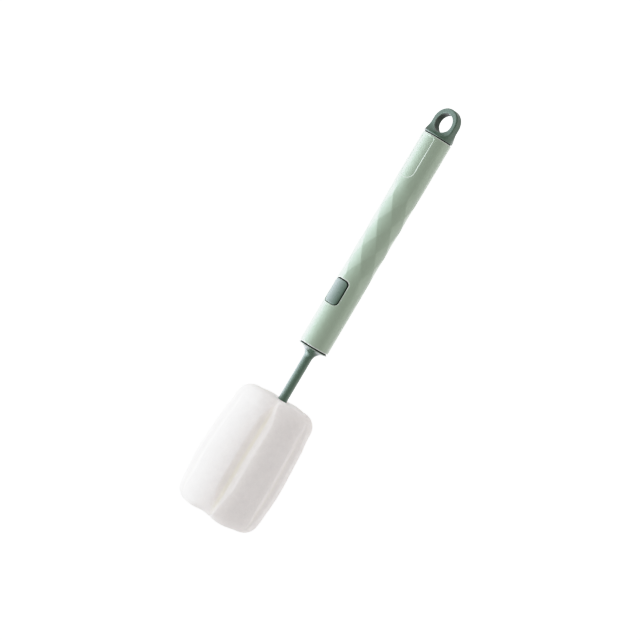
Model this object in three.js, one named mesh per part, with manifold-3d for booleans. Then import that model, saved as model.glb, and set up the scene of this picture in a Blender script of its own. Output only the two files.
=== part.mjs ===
// Bottle brush with a foam head that plugs into the handle and is let go by a thumb button.
// Millimetres. +Z runs up the brush from the head to the hanging eye, the origin is the centre of the eye,
// and the button faces -Y. Angles around the axis are counted from the button's side towards +X.
import * as THREE from 'three';
import { mergeVertices } from 'three/addons/utils/BufferGeometryUtils.js';
import Module from 'manifold-3d';

// ---- driving sizes -------------------------------------------------------------------------------------
const GAP = 0.3; // clearance between neighbouring pieces

// hanging eye
const EYE_R = 7.3;
const RING_R = 10.1;
const RING_CENTRE_Z = 0.54;
const RING_HALF_THICK = 3.0;
const CAP_R = 10.6;
const CAP_FILLET = 6.65; // hollow curve from the flat eye to the round foot
const CAP_FOOT_TOP_Z = -9.2;
const CAP_FOOT_BOTTOM_Z = -10.5;
const CAP_PLUG_END_Z = -20.5;
const CAP_PLUG_WALL = 1.7;

// handle
const HANDLE_TOP_Z = -10.9;
const HANDLE_BOTTOM_Z = -172.8;
const HANDLE_R = 10.5;
const HANDLE_HEAD_R = 10.65; // a little fuller at the eye's end
const HANDLE_TAPER_Z = [-125, -40];
const BORE_R = 8.6;
const RIM_CHAMFER = 0.35;

// panel
const PANEL_TOP_Z = -12.3;
const PANEL_BOTTOM_Z = -44.1;
const PANEL_HALF_W = 5.4;
const PANEL_CORNER_R = 1.2;
const PANEL_DEPTH = 0.3;

// diamond grip
const FACET_TOP_Z = -57.3;
const FACET_HALF_PITCH = 10.05;
const FACET_ROWS = 6; // half pitches between the highest and the lowest points on the button's line
const FACET_ANGLE = Math.PI / 6;
const FACET_FADE = 10.5;

// button
const BUTTON_Z = -132.2;
const WINDOW_HALF_W = 6.1;
const WINDOW_HALF_H = 9.3;
const WINDOW_CORNER_R = 3.0;
const BUTTON_GAP = 0.5;
const BUTTON_FACE_R = 10.6;
const BUTTON_UNDERSIDE = 7.0; // distances from the axis towards the thumb
const BUTTON_TAB_TOP = 7.7;
const BUTTON_TAB_HALF_W = 2.5;
const BUTTON_TAB_REACH = 1.1;
const SPRING_POCKET_R = 3.75;
const SPRING_POCKET_ROOF = 9.0;
const FOOT_HALF_W = 1.6;
const FOOT_HALF_H = 2.0;
const FOOT_TIP = 5.2;

// button spring
const SPRING_R = 3.1;
const SPRING_WIRE_R = 0.25;
const SPRING_TURNS = 3;

// liner
const SLEEVE_R = BORE_R - GAP;
const SLEEVE_BORE_R = 4.3;
const SLEEVE_TOP_Z = -116;
const SLEEVE_BOTTOM_Z = -163;
const SLEEVE_FLAT = 4.95;
const SLEEVE_FLAT_HALF_H = 12;
const CATCH_HALF_W = 2.0;
const CATCH_HALF_H = 2.3;
const KEY_HALF_W = 1.2;
const KEY_TOP_Z = -158;

// stem
const TANG_R = 4.0;
const TANG_TOP_Z = -118;
const SLOT_HALF_W = 1.9;
const SLOT_FLOOR = 0.9;
const SLOT_END = 18.5; // below the button's centre
const PLUG_R = BORE_R - GAP;
const PLUG_TOP_Z = SLEEVE_BOTTOM_Z - GAP;
const FLANGE_TOP_Z = -173.2;
const FLANGE_R = 10.4;
const FLANGE_EDGE = 0.8;
const FLARE_R = 7;
const ROD_R = 3.3;
const ROD_END_Z = -276;

// latch strip
const STRIP_T = 0.5;
const STRIP_HALF_W = 1.5;
const HOOK_TOP = 4.9;

// foam head and its core
const FOAM_TOP_Z = -212.2;
const FOAM_LOBES = 6;
const GROOVE_FIRST = THREE.MathUtils.degToRad(36.5);
const GROOVE_HALF = THREE.MathUtils.degToRad(10);
const GROOVE_DEPTH = 4.2;
const CORE_TOP_Z = -226;
const CORE_NECK_R = 5.0;
const CORE_BARB_R = 8.5;
const CORE_BARB_PITCH = 12;
const CORE_BARBS = 3;
const CORE_TIP_Z = -284;
const FOAM_GAP = 0.35;

// ---- helpers -------------------------------------------------------------------------------------------
const wasm = await Module();
wasm.setup();
const { Manifold, Mesh: SolidMesh } = wasm;

// a closed solid from a geometry, with its faces outwards
function solid(geometry) {
  const plain = geometry.index ? geometry.toNonIndexed() : geometry.clone();
  plain.deleteAttribute('normal');
  plain.deleteAttribute('uv');
  const welded = mergeVertices(plain, 1e-4);
  const p = welded.attributes.position.array;
  const index = welded.index.array;
  const triangles = [];
  let volume = 0;
  for (let i = 0; i < index.length; i += 3) {
    const [a, b, c] = [index[i], index[i + 1], index[i + 2]];
    if (a === b || b === c || c === a) continue;
    triangles.push(a, b, c);
    const [ax, ay, az] = [p[3 * a], p[3 * a + 1], p[3 * a + 2]];
    const [bx, by, bz] = [p[3 * b], p[3 * b + 1], p[3 * b + 2]];
    const [cx, cy, cz] = [p[3 * c], p[3 * c + 1], p[3 * c + 2]];
    volume += ax * (by * cz - bz * cy) + ay * (bz * cx - bx * cz) + az * (bx * cy - by * cx);
  }
  if (volume < 0) {
    for (let i = 0; i < triangles.length; i += 3) {
      const swap = triangles[i];
      triangles[i] = triangles[i + 1];
      triangles[i + 1] = swap;
    }
  }
  return new Manifold(
    new SolidMesh({ numProp: 3, vertProperties: new Float32Array(p), triVerts: new Uint32Array(triangles) }),
  );
}

// a turned shape about Z from [radius, z] points; angle 0 faces -Y
function turned(profile, segments) {
  const geometry = new THREE.LatheGeometry(
    profile.map(([r, z]) => new THREE.Vector2(r, z)),
    segments,
  );
  geometry.rotateX(Math.PI / 2);
  return geometry;
}

// a flat outline in X and Z, pushed through from one distance off the axis to another, towards the thumb
function pushedToFront(outline, from, to, curveSegments = 6) {
  const geometry = new THREE.ExtrudeGeometry(outline, { depth: to - from, bevelEnabled: false, curveSegments });
  geometry.rotateX(Math.PI / 2); // outline y becomes z, depth runs towards -Y
  geometry.translate(0, -from, 0);
  return geometry;
}

// a flat outline in distance-from-axis (towards the thumb) and Z, pushed through along X, both ways
function pushedSideways(outline, halfWidth, curveSegments = 8) {
  const geometry = new THREE.ExtrudeGeometry(outline, { depth: 2 * halfWidth, bevelEnabled: false, curveSegments });
  geometry.translate(0, 0, -halfWidth);
  // outline x -> -Y, outline y -> Z, depth -> -X or X
  geometry.applyMatrix4(new THREE.Matrix4().set(0, 0, 1, 0, -1, 0, 0, 0, 0, 1, 0, 0, 0, 0, 0, 1));
  return geometry;
}

function block(x0, x1, front0, front1, z0, z1) {
  const geometry = new THREE.BoxGeometry(x1 - x0, front1 - front0, z1 - z0);
  geometry.translate((x0 + x1) / 2, -(front0 + front1) / 2, (z0 + z1) / 2);
  return geometry;
}

function roundedRectangle(halfW, z0, z1, r) {
  const s = new THREE.Shape();
  s.moveTo(-halfW + r, z0);
  s.lineTo(halfW - r, z0);
  s.absarc(halfW - r, z0 + r, r, -Math.PI / 2, 0, false);
  s.lineTo(halfW, z1 - r);
  s.absarc(halfW - r, z1 - r, r, 0, Math.PI / 2, false);
  s.lineTo(-halfW + r, z1);
  s.absarc(-halfW + r, z1 - r, r, Math.PI / 2, Math.PI, false);
  s.lineTo(-halfW, z0 + r);
  s.absarc(-halfW + r, z0 + r, r, Math.PI, 1.5 * Math.PI, false);
  return s;
}

function smoothstep(a, b, x) {
  const t = Math.min(1, Math.max(0, (x - a) / (b - a)));
  return t * t * (3 - 2 * t);
}

function piece(name, body, color, roughness, metalness = 0) {
  const m = body.getMesh();
  const geometry = new THREE.BufferGeometry();
  geometry.setAttribute('position', new THREE.BufferAttribute(new Float32Array(m.vertProperties), 3));
  geometry.setIndex(new THREE.BufferAttribute(new Uint32Array(m.triVerts), 1));
  geometry.computeVertexNormals();
  const mesh = new THREE.Mesh(geometry, new THREE.MeshStandardMaterial({ color, roughness, metalness }));
  mesh.name = name;
  return mesh;
}

// ---- handle --------------------------------------------------------------------------------------------
function handleRound(z) {
  return HANDLE_R + (HANDLE_HEAD_R - HANDLE_R) * smoothstep(HANDLE_TAPER_Z[0], HANDLE_TAPER_Z[1], z);
}

// radius of the diamond grip: each diamond is a saddle stretched between four points on the round
function gripRadius(angle, halfPitches, round) {
  const a = angle / FACET_ANGLE;
  let i = Math.round(a);
  let j = Math.round(halfPitches);
  if ((i + j) % 2 === 0) {
    if (Math.abs(a - i) > Math.abs(halfPitches - j)) i += Math.sign(a - i) || 1;
    else j += Math.sign(halfPitches - j) || 1;
  }
  const p = halfPitches - j;
  const t = Math.tan((a - i) * FACET_ANGLE);
  const c = Math.cos(FACET_ANGLE);
  const s = Math.sin(FACET_ANGLE);
  const level = c + ((1 - c) * (1 + p * p)) / 2;
  const bend = (t * (1 - c)) / 2;
  const q =
    Math.abs(bend) < 1e-9 ? (t * level) / s : (-s + Math.sqrt(s * s + 4 * bend * t * level)) / (2 * bend);
  const x = round * (level - ((1 - c) * q * q) / 2);
  const y = round * s * q;
  return Math.hypot(x, y);
}

function handleRadius(angle, z) {
  const round = handleRound(z);
  const low = -FACET_ROWS;
  const b = (z - FACET_TOP_Z) / FACET_HALF_PITCH;
  const grip = gripRadius(angle, Math.min(0, Math.max(low, b)), round);
  const over = Math.max(0, z - FACET_TOP_Z, FACET_TOP_Z + low * FACET_HALF_PITCH - z);
  return round - (round - grip) * (1 - smoothstep(0, FACET_FADE, over));
}

function panelOutline() {
  const s = new THREE.Shape();
  const r = PANEL_CORNER_R;
  s.moveTo(PANEL_HALF_W, PANEL_BOTTOM_Z + PANEL_HALF_W);
  s.lineTo(PANEL_HALF_W, PANEL_TOP_Z - r);
  s.absarc(PANEL_HALF_W - r, PANEL_TOP_Z - r, r, 0, Math.PI / 2, false);
  s.lineTo(-PANEL_HALF_W + r, PANEL_TOP_Z);
  s.absarc(-PANEL_HALF_W + r, PANEL_TOP_Z - r, r, Math.PI / 2, Math.PI, false);
  s.lineTo(-PANEL_HALF_W, PANEL_BOTTOM_Z + PANEL_HALF_W);
  s.absarc(0, PANEL_BOTTOM_Z + PANEL_HALF_W, PANEL_HALF_W, Math.PI, 2 * Math.PI, false);
  return s;
}

// each four-sided cell is folded along the diagonal that lies closer to the surface, so ridges stay straight
function foldAlongRidges(geometry, rows, segments) {
  const p = geometry.attributes.position;
  const index = geometry.index;
  const corner = (k) => new THREE.Vector3().fromBufferAttribute(p, k);
  const error = (m) => {
    const angle = Math.atan2(m.x, -m.y);
    return Math.abs(Math.hypot(m.x, m.y) - handleRadius(angle, m.z));
  };
  for (let i = 0; i < segments; i++) {
    for (let j = 1; j < rows - 2; j++) {
      const a = j + i * rows;
      const [b, c, d] = [a + rows, a + rows + 1, a + 1];
      const ac = corner(a).add(corner(c)).multiplyScalar(0.5);
      const bd = corner(b).add(corner(d)).multiplyScalar(0.5);
      if (error(ac) + 1e-6 >= error(bd)) continue;
      const at = 6 * (i * (rows - 1) + j);
      [a, b, c, a, c, d].forEach((k, n) => index.setX(at + n, k));
    }
  }
}

function handleShell() {
  const levels = [HANDLE_TOP_Z - RIM_CHAMFER, -28, -37, -46.8, -52];
  const step = FACET_HALF_PITCH / 3;
  for (let i = 0; i <= FACET_ROWS * 3; i++) levels.push(FACET_TOP_Z - i * step);
  levels.push(-121.2, -124.8, -128.4, HANDLE_BOTTOM_Z + RIM_CHAMFER);
  const profile = [
    [0, HANDLE_TOP_Z],
    [HANDLE_HEAD_R - RIM_CHAMFER, HANDLE_TOP_Z],
    ...levels.map((z) => [HANDLE_R, z]),
    [HANDLE_R - RIM_CHAMFER, HANDLE_BOTTOM_Z],
    [0, HANDLE_BOTTOM_Z],
  ];
  const outside = turned(profile, 36);
  const p = outside.attributes.position;
  for (let i = 0; i < p.count; i++) {
    const [x, y, z] = [p.getX(i), p.getY(i), p.getZ(i)];
    if (z > HANDLE_TOP_Z - RIM_CHAMFER / 2 || z < HANDLE_BOTTOM_Z + RIM_CHAMFER / 2) continue;
    const angle = Math.atan2(x, -y);
    const r = handleRadius(angle, z);
    p.setXYZ(i, r * Math.sin(angle), -r * Math.cos(angle), z);
  }
  foldAlongRidges(outside, profile.length, 36);
  const bore = turned(
    [
      [0, HANDLE_TOP_Z + 1],
      [BORE_R, HANDLE_TOP_Z + 1],
      [BORE_R, HANDLE_BOTTOM_Z - 1],
      [0, HANDLE_BOTTOM_Z - 1],
    ],
    36,
  );
  const window = pushedToFront(
    roundedRectangle(WINDOW_HALF_W, BUTTON_Z - WINDOW_HALF_H, BUTTON_Z + WINDOW_HALF_H, WINDOW_CORNER_R),
    3,
    14,
  );
  const panelFloor = turned(
    [
      [0, PANEL_TOP_Z + 1],
      ...[PANEL_TOP_Z + 1, -28, -34, -40, PANEL_BOTTOM_Z - 1].map((z) => [handleRound(z) - PANEL_DEPTH, z]),
      [0, PANEL_BOTTOM_Z - 1],
    ],
    36,
  );
  const panel = solid(pushedToFront(panelOutline(), 6, 14)).subtract(solid(panelFloor));
  return solid(outside).subtract(solid(bore)).subtract(solid(window)).subtract(panel);
}

// ---- hanging eye ---------------------------------------------------------------------------------------
function hangerCap() {
  const round = turned(
    [
      [0, 12],
      [CAP_R, 12],
      [CAP_R, CAP_FOOT_TOP_Z - 0.2],
      [0, CAP_FOOT_TOP_Z - 0.2],
    ],
    40,
  );
  const filletTop = CAP_FOOT_TOP_Z + CAP_FILLET;
  const face = new THREE.Shape();
  face.moveTo(CAP_R + 0.3, CAP_FOOT_TOP_Z - 1);
  face.lineTo(CAP_R + 0.3, CAP_FOOT_TOP_Z);
  face.lineTo(RING_R, filletTop);
  face.absarc(0, RING_CENTRE_Z, RING_R, 0, Math.PI, false);
  face.lineTo(-RING_R, filletTop);
  face.lineTo(-CAP_R - 0.3, CAP_FOOT_TOP_Z);
  face.lineTo(-CAP_R - 0.3, CAP_FOOT_TOP_Z - 1);
  const side = new THREE.Shape();
  side.moveTo(RING_HALF_THICK, 13);
  side.lineTo(-RING_HALF_THICK, 13);
  side.lineTo(-RING_HALF_THICK, filletTop);
  side.absarc(-RING_HALF_THICK - CAP_FILLET, filletTop, CAP_FILLET, 0, -Math.PI / 2, true);
  side.lineTo(-RING_HALF_THICK - CAP_FILLET, CAP_FOOT_TOP_Z - 0.2);
  side.lineTo(RING_HALF_THICK + CAP_FILLET, CAP_FOOT_TOP_Z - 0.2);
  side.absarc(RING_HALF_THICK + CAP_FILLET, filletTop, CAP_FILLET, -Math.PI / 2, -Math.PI, true);
  const eye = new THREE.CylinderGeometry(EYE_R, EYE_R, 40, 40);
  const foot = turned(
    [
      [0, CAP_FOOT_TOP_Z],
      [CAP_R - 0.25, CAP_FOOT_TOP_Z],
      [CAP_R, CAP_FOOT_TOP_Z - 0.25],
      [CAP_R, CAP_FOOT_BOTTOM_Z],
      [BORE_R - GAP, CAP_FOOT_BOTTOM_Z],
      [BORE_R - GAP, CAP_PLUG_END_Z + 0.6],
      [BORE_R - GAP - 0.6, CAP_PLUG_END_Z],
      [BORE_R - GAP - CAP_PLUG_WALL, CAP_PLUG_END_Z],
      [BORE_R - GAP - CAP_PLUG_WALL, CAP_FOOT_BOTTOM_Z - 1.2],
      [0, CAP_FOOT_BOTTOM_Z - 1.2],
    ],
    40,
  );
  return solid(round)
    .intersect(solid(pushedToFront(face, -12, 12, 28)))
    .intersect(solid(pushedSideways(side, 14, 8)))
    .subtract(solid(eye))
    .add(solid(foot));
}

// ---- button, spring and liner --------------------------------------------------------------------------
function releaseButton() {
  const halfW = WINDOW_HALF_W - BUTTON_GAP;
  const halfH = WINDOW_HALF_H - BUTTON_GAP;
  const pad = solid(
    pushedToFront(
      roundedRectangle(halfW, BUTTON_Z - halfH, BUTTON_Z + halfH, WINDOW_CORNER_R - BUTTON_GAP),
      BUTTON_UNDERSIDE,
      14,
    ),
  ).intersect(
    solid(
      turned(
        [
          [0, BUTTON_Z + 20],
          [BUTTON_FACE_R, BUTTON_Z + 20],
          [BUTTON_FACE_R, BUTTON_Z - 20],
          [0, BUTTON_Z - 20],
        ],
        72,
      ),
    ),
  );
  const tabHalfH = WINDOW_HALF_H + BUTTON_TAB_REACH;
  const tabs = block(
    -BUTTON_TAB_HALF_W,
    BUTTON_TAB_HALF_W,
    BUTTON_UNDERSIDE,
    BUTTON_TAB_TOP,
    BUTTON_Z - tabHalfH,
    BUTTON_Z + tabHalfH,
  );
  const pocket = new THREE.CylinderGeometry(SPRING_POCKET_R, SPRING_POCKET_R, SPRING_POCKET_ROOF - 5, 24);
  pocket.translate(0, -(SPRING_POCKET_ROOF + 5) / 2, BUTTON_Z);
  const foot = block(
    -FOOT_HALF_W,
    FOOT_HALF_W,
    FOOT_TIP,
    SPRING_POCKET_ROOF + 0.5,
    BUTTON_Z - FOOT_HALF_H,
    BUTTON_Z + FOOT_HALF_H,
  );
  return pad.add(solid(tabs)).subtract(solid(pocket)).add(solid(foot));
}

class CoilCurve extends THREE.Curve {
  getPoint(t, target = new THREE.Vector3()) {
    const low = SLEEVE_FLAT + 0.15 + SPRING_WIRE_R;
    const high = SPRING_POCKET_ROOF - 0.15 - SPRING_WIRE_R;
    const turn = 2 * Math.PI * SPRING_TURNS * t;
    // the end turns lie nearly flat
    const rise = smoothstep(0, 1, t) * 0.5 + t * 0.5;
    return target.set(
      SPRING_R * Math.cos(turn),
      -(low + (high - low) * rise),
      BUTTON_Z + SPRING_R * Math.sin(turn),
    );
  }
}

function buttonSpring() {
  const around = 6;
  const along = 16 * SPRING_TURNS;
  const tube = new THREE.TubeGeometry(new CoilCurve(), along, SPRING_WIRE_R, around, false);
  const position = Array.from(tube.attributes.position.array);
  const index = Array.from(tube.index.array);
  const curve = new CoilCurve();
  for (const [row, t] of [
    [0, 0],
    [along, 1],
  ]) {
    const centre = position.length / 3;
    position.push(...curve.getPointAt(t).toArray());
    for (let j = 0; j < around; j++) {
      const a = row * (around + 1) + j;
      if (row === 0) index.push(centre, a + 1, a);
      else index.push(centre, a, a + 1);
    }
  }
  let geometry = new THREE.BufferGeometry();
  geometry.setAttribute('position', new THREE.Float32BufferAttribute(position, 3));
  geometry.setIndex(index);
  // the caps face out of the wire's ends whichever way the rows run
  const test = solidOrNull(geometry);
  if (test) return test;
  const flipped = index.slice();
  for (let k = flipped.length - 6 * around; k < flipped.length; k += 3) {
    const swap = flipped[k + 1];
    flipped[k + 1] = flipped[k + 2];
    flipped[k + 2] = swap;
  }
  geometry = geometry.clone();
  geometry.setIndex(flipped);
  return solid(geometry);
}

function solidOrNull(geometry) {
  try {
    return solid(geometry);
  } catch {
    return null;
  }
}

function latchSleeve() {
  const tube = turned(
    [
      [SLEEVE_BORE_R, SLEEVE_TOP_Z],
      [SLEEVE_R, SLEEVE_TOP_Z],
      [SLEEVE_R, SLEEVE_BOTTOM_Z],
      [SLEEVE_BORE_R + 0.8, SLEEVE_BOTTOM_Z],
      [SLEEVE_BORE_R, SLEEVE_BOTTOM_Z + 1.2],
      [SLEEVE_BORE_R, SLEEVE_TOP_Z],
    ],
    36,
  );
  const flat = block(
    -10,
    10,
    SLEEVE_FLAT,
    12,
    BUTTON_Z - SLEEVE_FLAT_HALF_H,
    BUTTON_Z + SLEEVE_FLAT_HALF_H,
  );
  const hole = block(
    -CATCH_HALF_W,
    CATCH_HALF_W,
    2,
    8,
    BUTTON_Z - CATCH_HALF_H,
    BUTTON_Z + CATCH_HALF_H,
  );
  const keyway = block(
    -KEY_HALF_W - GAP,
    KEY_HALF_W + GAP,
    -12,
    -2,
    SLEEVE_BOTTOM_Z - 1,
    KEY_TOP_Z + GAP,
  );
  return solid(tube).subtract(solid(flat)).subtract(solid(hole)).subtract(solid(keyway));
}

// ---- stem and latch strip ------------------------------------------------------------------------------
function brushStem() {
  const flangeUnder = FLANGE_TOP_Z - FLANGE_EDGE;
  const flare = [];
  for (let i = 1; i <= 6; i++) {
    const turn = Math.PI / 2 + (Math.PI / 2) * Math.pow(i / 6, 0.85);
    flare.push([
      ROD_R + FLARE_R + FLARE_R * Math.cos(turn),
      flangeUnder - 0.1 - FLARE_R + FLARE_R * Math.sin(turn),
    ]);
  }
  const body = turned(
    [
      [0, TANG_TOP_Z],
      [TANG_R - 1, TANG_TOP_Z],
      [TANG_R, TANG_TOP_Z - 1.4],
      [TANG_R, PLUG_TOP_Z],
      [PLUG_R - 0.6, PLUG_TOP_Z],
      [PLUG_R, PLUG_TOP_Z - 0.6],
      [PLUG_R, FLANGE_TOP_Z],
      [FLANGE_R - 0.25, FLANGE_TOP_Z],
      [FLANGE_R, FLANGE_TOP_Z - 0.25],
      [FLANGE_R, flangeUnder + 0.1],
      [FLANGE_R - 0.2, flangeUnder],
      ...flare,
      [ROD_R, ROD_END_Z + 0.8],
      [ROD_R - 0.8, ROD_END_Z],
      [0, ROD_END_Z],
    ],
    32,
  );
  const slot = block(
    -SLOT_HALF_W,
    SLOT_HALF_W,
    SLOT_FLOOR,
    8,
    BUTTON_Z - SLOT_END,
    TANG_TOP_Z + 2,
  );
  const toe = block(-SLOT_HALF_W, SLOT_HALF_W, -0.2, 2, BUTTON_Z - 16.7, BUTTON_Z - 15.3);
  let stem = solid(body).subtract(solid(slot)).subtract(solid(toe));
  // pockets lighten the plug to a cross of ribs between two discs
  for (const sx of [-1, 1]) {
    for (const sy of [-1, 1]) {
      const [x0, x1] = sx > 0 ? [1.2, 12] : [-12, -1.2];
      const [y0, y1] = sy > 0 ? [1.2, 12] : [-12, -1.2];
      const pocket = solid(block(x0, x1, y0, y1, FLANGE_TOP_Z + 1.4, PLUG_TOP_Z - 1.8));
      const core = solid(
        turned(
          [
            [0, PLUG_TOP_Z + 1],
            [TANG_R + 0.2, PLUG_TOP_Z + 1],
            [TANG_R + 0.2, FLANGE_TOP_Z - 1],
            [0, FLANGE_TOP_Z - 1],
          ],
          32,
        ),
      );
      stem = stem.subtract(pocket.subtract(core));
    }
  }
  const key = block(-KEY_HALF_W, KEY_HALF_W, -(PLUG_R - 0.4), -(TANG_R - 0.5), PLUG_TOP_Z - 0.5, KEY_TOP_Z);
  return stem.add(solid(key));
}

// outline of a bent strip of even thickness along a line of points
function stripOutline(points, thickness) {
  const offset = (side) =>
    points.map((point, i) => {
      const before = points[Math.max(0, i - 1)];
      const after = points[Math.min(points.length - 1, i + 1)];
      const d0 = new THREE.Vector2().subVectors(point, before);
      const d1 = new THREE.Vector2().subVectors(after, point);
      if (d0.length() < 1e-9) d0.copy(d1);
      if (d1.length() < 1e-9) d1.copy(d0);
      d0.normalize();
      d1.normalize();
      const n0 = new THREE.Vector2(-d0.y, d0.x);
      const n1 = new THREE.Vector2(-d1.y, d1.x);
      const mid = n0.clone().add(n1).normalize();
      const reach = (side * thickness) / 2 / Math.max(0.4, mid.dot(n0));
      return point.clone().addScaledVector(mid, reach);
    });
  return new THREE.Shape([...offset(1), ...offset(-1).reverse()]);
}

function latchSpring() {
  const half = STRIP_T / 2;
  const at = (front, dz) => new THREE.Vector2(front, BUTTON_Z + dz);
  const low = SLOT_FLOOR + GAP + half;
  const bendR = 0.75;
  const points = [at(0.25, -16), at(low, -16), at(low, 11)];
  for (let i = 1; i < 6; i++) {
    const turn = -Math.PI / 2 + (Math.PI * i) / 6;
    points.push(at(low + bendR + bendR * Math.sin(turn), 11 + bendR * Math.cos(turn)));
  }
  points.push(
    at(low + 2 * bendR, 11),
    at(low + 2 * bendR, 3.2),
    at(HOOK_TOP - half, 0.8),
    at(HOOK_TOP - half, -1.75),
    at(3.0, -1.75),
  );
  return solid(pushedSideways(stripOutline(points, STRIP_T), STRIP_HALF_W));
}

// ---- core and foam -------------------------------------------------------------------------------------
function coreProfile(grow) {
  const profile = [
    [CORE_NECK_R + grow, CORE_TOP_Z + grow],
  ];
  const first = CORE_TOP_Z - 6;
  for (let i = 0; i < CORE_BARBS; i++) {
    const z = first - i * CORE_BARB_PITCH;
    profile.push([CORE_NECK_R + grow, z + grow]);
    profile.push([CORE_BARB_R + grow, z + grow]);
    profile.push([CORE_BARB_R + grow, z - 1]);
  }
  const tail = first - CORE_BARBS * CORE_BARB_PITCH;
  profile.push([CORE_NECK_R + grow, tail + grow]);
  profile.push([CORE_BARB_R - 0.5 + grow, tail + grow]);
  profile.push([CORE_BARB_R - 0.5 + grow, tail - 1]);
  profile.push([2.2 + grow, CORE_TIP_Z - grow]);
  profile.push([0, CORE_TIP_Z - grow]);
  return profile;
}

function spongeCore() {
  const outer = turned([[0, CORE_TOP_Z], ...coreProfile(0)], 20);
  const bore = turned(
    [
      [0, CORE_TOP_Z + 2],
      [ROD_R + GAP, CORE_TOP_Z + 2],
      [ROD_R + GAP, ROD_END_Z - 0.4],
      [0, ROD_END_Z - 0.4],
    ],
    20,
  );
  return solid(outer).subtract(solid(bore));
}

// [radius, drop from the top, groove depth as a share] of the head along its lobes
const FOAM_ROWS = [
  [0, -2.2, 0],
  [7, -1.9, 0.06],
  [12.5, -0.6, 0.22],
  [17, 0, 0.42],
  [20.5, -0.9, 0.6],
  [23.5, -2.8, 0.76],
  [26.2, -5.6, 0.9],
  [28.2, -9.6, 1],
  [28.8, -17, 1],
  [29.9, -26, 1],
  [30.9, -41.5, 1],
  [31.4, -52.5, 1],
  [31.2, -63, 1],
  [30.4, -73, 1],
  [29.5, -82, 1],
  [28.0, -86, 0.92],
  [25.2, -88.8, 0.76],
  [21.0, -91, 0.58],
  [15.5, -92, 0.36],
  [8, -91.5, 0.12],
  [0, -91, 0],
];

function spongeHead() {
  const perLobe = [0, 3.5, 7, 11, 30, 49, 53, 56.5];
  const segments = perLobe.length * FOAM_LOBES;
  const geometry = turned(
    FOAM_ROWS.map(([r, drop]) => [r, FOAM_TOP_Z + drop]),
    segments,
  );
  const rows = FOAM_ROWS.length;
  const p = geometry.attributes.position;
  for (let i = 0; i <= segments; i++) {
    const k = i % segments;
    const inLobe = THREE.MathUtils.degToRad(perLobe[k % perLobe.length]);
    const angle = GROOVE_FIRST + (Math.floor(k / perLobe.length) * 2 * Math.PI) / FOAM_LOBES + inLobe;
    const away = Math.min(inLobe, (2 * Math.PI) / FOAM_LOBES - inLobe);
    const t = Math.min(1, away / GROOVE_HALF);
    const groove = 0.25 * (1 + Math.cos(Math.PI * t)) + 0.5 * (1 - t * t); // rounded floor, fairly crisp lips
    for (let j = 0; j < rows; j++) {
      const [r, drop, share] = FOAM_ROWS[j];
      const [r0, d0] = FOAM_ROWS[Math.max(0, j - 1)];
      const [r1, d1] = FOAM_ROWS[Math.min(rows - 1, j + 1)];
      const normal = new THREE.Vector2(-(d1 - d0), r1 - r0).normalize();
      const depth = GROOVE_DEPTH * share * groove;
      const radius = r === 0 ? 0 : Math.max(0.5, r - normal.x * depth);
      const z = FOAM_TOP_Z + drop - (r === 0 ? 0 : normal.y * depth);
      p.setXYZ(i * rows + j, radius * Math.sin(angle), -radius * Math.cos(angle), z);
    }
  }
  const hollow = turned(
    [
      [0, FOAM_TOP_Z + 3],
      [ROD_R + FOAM_GAP, FOAM_TOP_Z + 3],
      [ROD_R + FOAM_GAP, CORE_TOP_Z + FOAM_GAP],
      ...coreProfile(FOAM_GAP),
    ],
    20,
  );
  return solid(geometry).subtract(solid(hollow));
}

// ---- assembly ------------------------------------------------------------------------------------------
const SAGE = 0xc3d3c8;
const DARK = 0x74897c;
const brush = new THREE.Group();
brush.name = 'bottle_brush';
brush.add(
  piece('handle_shell', handleShell(), SAGE, 0.45),
  piece('hanger_cap', hangerCap(), DARK, 0.45),
  piece('latch_sleeve', latchSleeve(), 0xd9ddd6, 0.5),
  piece('release_button', releaseButton(), DARK, 0.45),
  piece('button_spring', buttonSpring(), 0xb9bcc0, 0.3, 1),
  piece('brush_stem', brushStem(), DARK, 0.45),
  piece('latch_spring', latchSpring(), 0xb9bcc0, 0.3, 1),
  piece('sponge_core', spongeCore(), 0xe6e6e0, 0.5),
  piece('sponge_head', spongeHead(), 0xf4f3ee, 0.95),
);

export default brush;
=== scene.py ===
import math

import bmesh
import bpy
import numpy as np
from mathutils import Matrix, Vector


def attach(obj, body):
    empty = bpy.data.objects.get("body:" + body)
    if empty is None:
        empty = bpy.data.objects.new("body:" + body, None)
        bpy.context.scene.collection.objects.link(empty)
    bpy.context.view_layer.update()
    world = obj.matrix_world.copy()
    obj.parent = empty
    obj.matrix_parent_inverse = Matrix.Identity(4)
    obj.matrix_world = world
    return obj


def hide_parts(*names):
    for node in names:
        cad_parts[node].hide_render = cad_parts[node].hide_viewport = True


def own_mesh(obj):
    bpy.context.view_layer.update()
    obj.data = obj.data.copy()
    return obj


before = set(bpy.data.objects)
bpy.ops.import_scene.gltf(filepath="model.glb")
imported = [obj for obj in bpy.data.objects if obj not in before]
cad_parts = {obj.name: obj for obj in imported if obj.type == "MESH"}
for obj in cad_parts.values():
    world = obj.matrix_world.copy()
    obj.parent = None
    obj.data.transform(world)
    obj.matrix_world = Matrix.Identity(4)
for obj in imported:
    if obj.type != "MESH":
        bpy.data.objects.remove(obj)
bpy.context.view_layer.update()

MM = 0.001
TAU = 2 * math.pi

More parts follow.
